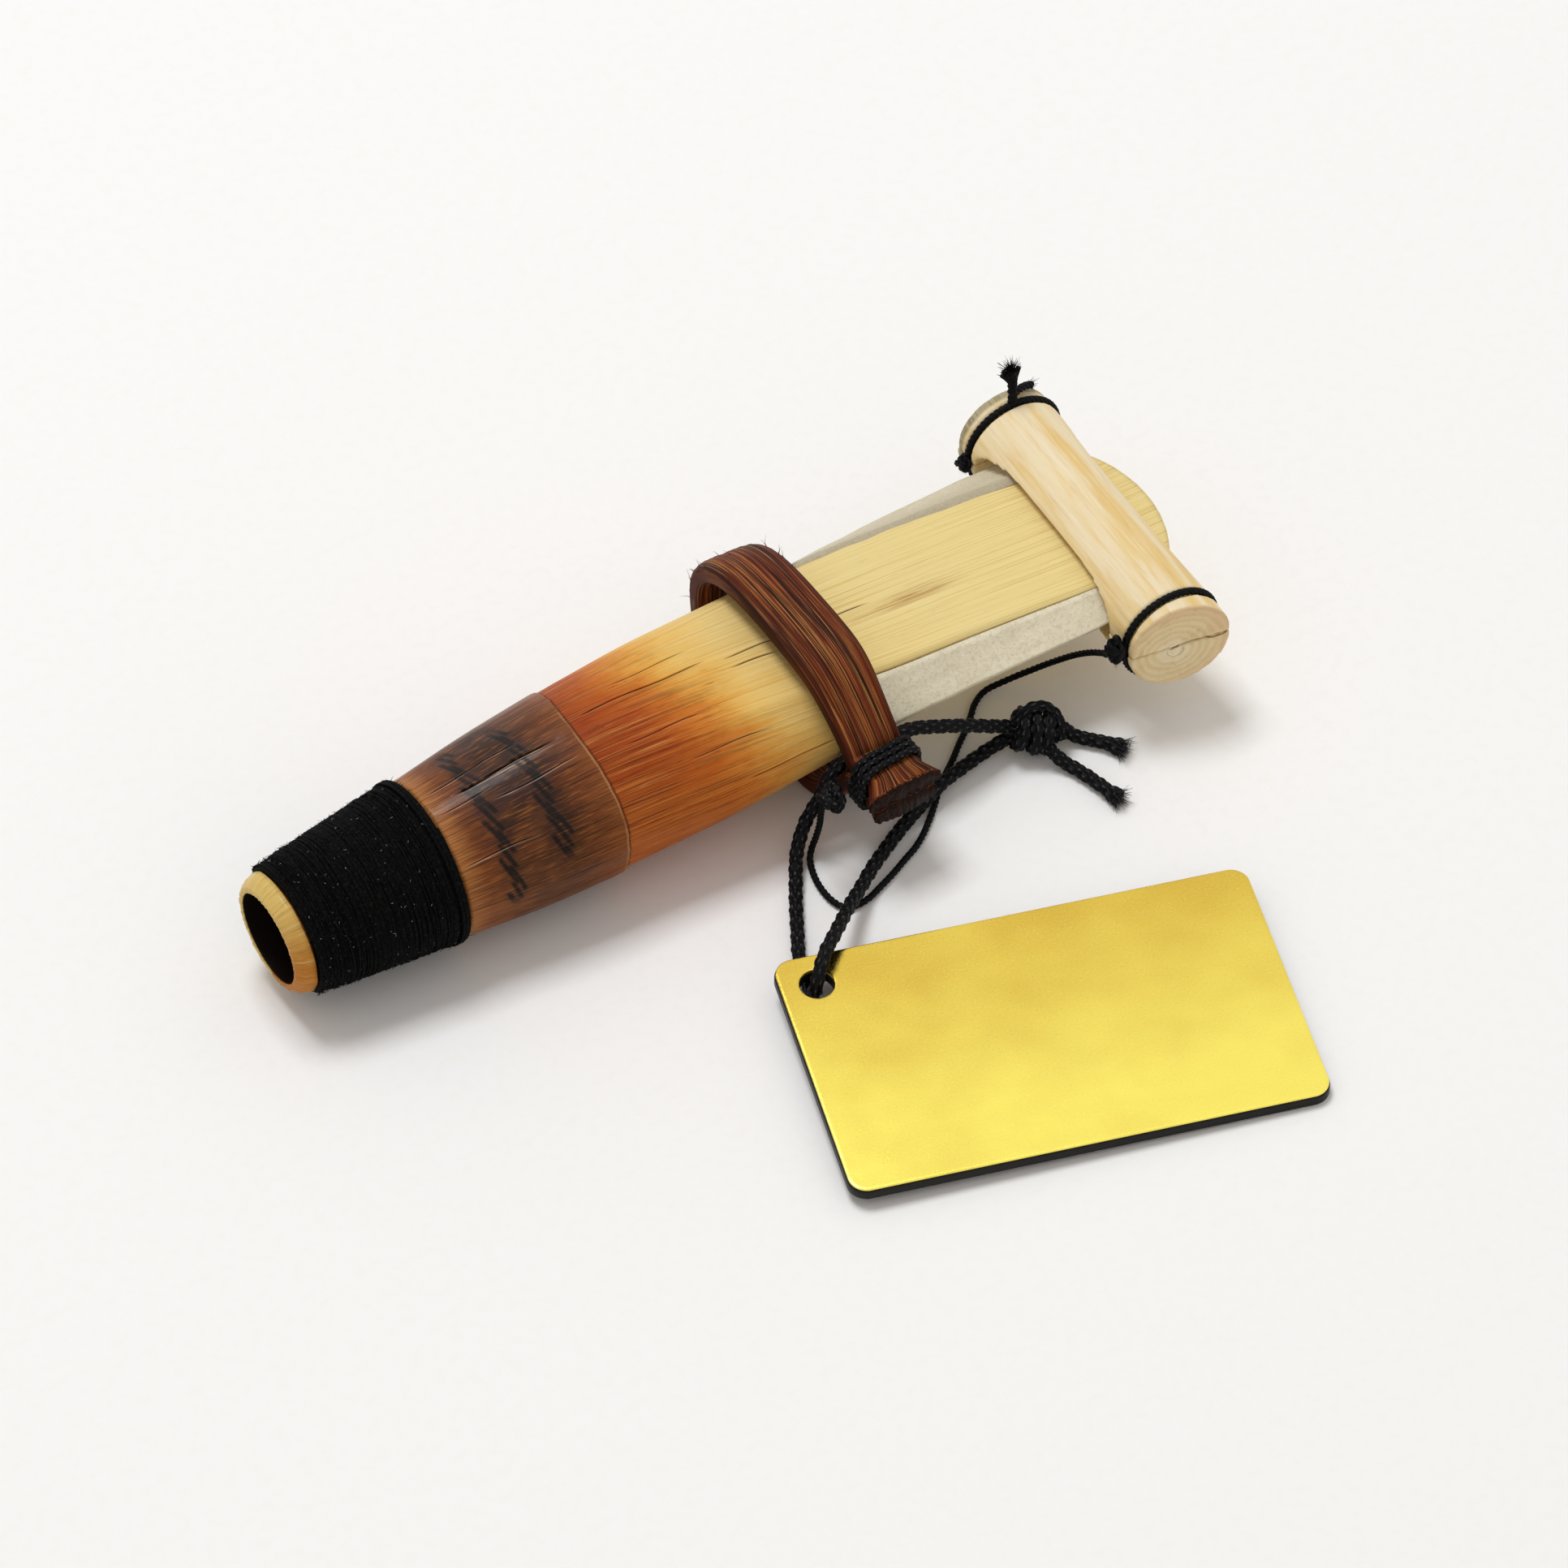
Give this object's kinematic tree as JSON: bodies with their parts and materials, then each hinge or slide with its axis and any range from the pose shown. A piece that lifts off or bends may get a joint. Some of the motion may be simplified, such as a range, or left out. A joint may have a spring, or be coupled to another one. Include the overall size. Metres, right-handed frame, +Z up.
{
  "type": "duduk reed",
  "caption": "Flattened cane double reed with a thread-wound base, a tied bent-vine bridle, a split-stick cap over its blade, a thin tether and a bare gold-faced swing tag on a braided cord.",
  "frame": {"origin": "middle of the bounding box's base, on the surface the reed lies on, cords left out", "axes": "+X along the reed from its round base to its tip, +Z up, +Y away from the swing tag"},
  "size_m": [0.1156, 0.0948, 0.0228],
  "materials": {
    "cane": "satin, smoked brown at the bark end",
    "winding_thread": "matt thread",
    "leather": "matt pale leather",
    "vine": "stained, fibrous, satin",
    "cap_wood": "peeled stick, satin",
    "waxed_cord": "waxed thread",
    "braided_cord": "fine braid",
    "tag_core": "black laminate",
    "tag_face": "polished gold film"
  },
  "bodies": {
    "reed": {"reed_cane": "cane", "thread_core": "winding_thread", "thread_winding": "winding_thread", "edge_leather_near": "leather", "edge_leather_far": "leather", "tether_from_cap": "waxed_cord", "tether_from_bridle": "waxed_cord"},
    "bridle": {"bridle_band": "vine", "bridle_tie": "waxed_cord", "bridle_knot": "waxed_cord", "tag_cord": "braided_cord", "tag_cord_knot": "braided_cord", "tag_cord_tail_front": "braided_cord", "tag_cord_tail_back": "braided_cord"},
    "cap": {"cap_upper": "cap_wood", "cap_lower": "cap_wood", "cap_tie_near": "waxed_cord", "cap_tie_far": "waxed_cord", "cap_knot_near": "waxed_cord", "cap_knot_far": "waxed_cord", "cap_tie_tails": "waxed_cord"},
    "tag": {"tag_core": "tag_core", "tag_face": "tag_face"}
  },
  "joints": [
    {"name": "bridle_slide", "type": "slide", "parent": "reed", "child": "bridle", "axis": [0.9997, 0, 0.0262], "range_m": [-0.001, 0.01], "deforming": ["tether_from_bridle", "tag_cord"]},
    {"name": "cap_pull", "type": "slide", "parent": "reed", "child": "cap", "axis": [0.9997, 0, 0.0262], "range_m": [0, 0.024], "deforming": ["tether_from_cap"]},
    {"name": "tag_turn", "type": "hinge", "parent": "bridle", "child": "tag", "pos_m": [-0.00821, -0.00592, 0.00223], "axis": [0, 0, 1], "range_deg": [-45, 14]}
  ]
}
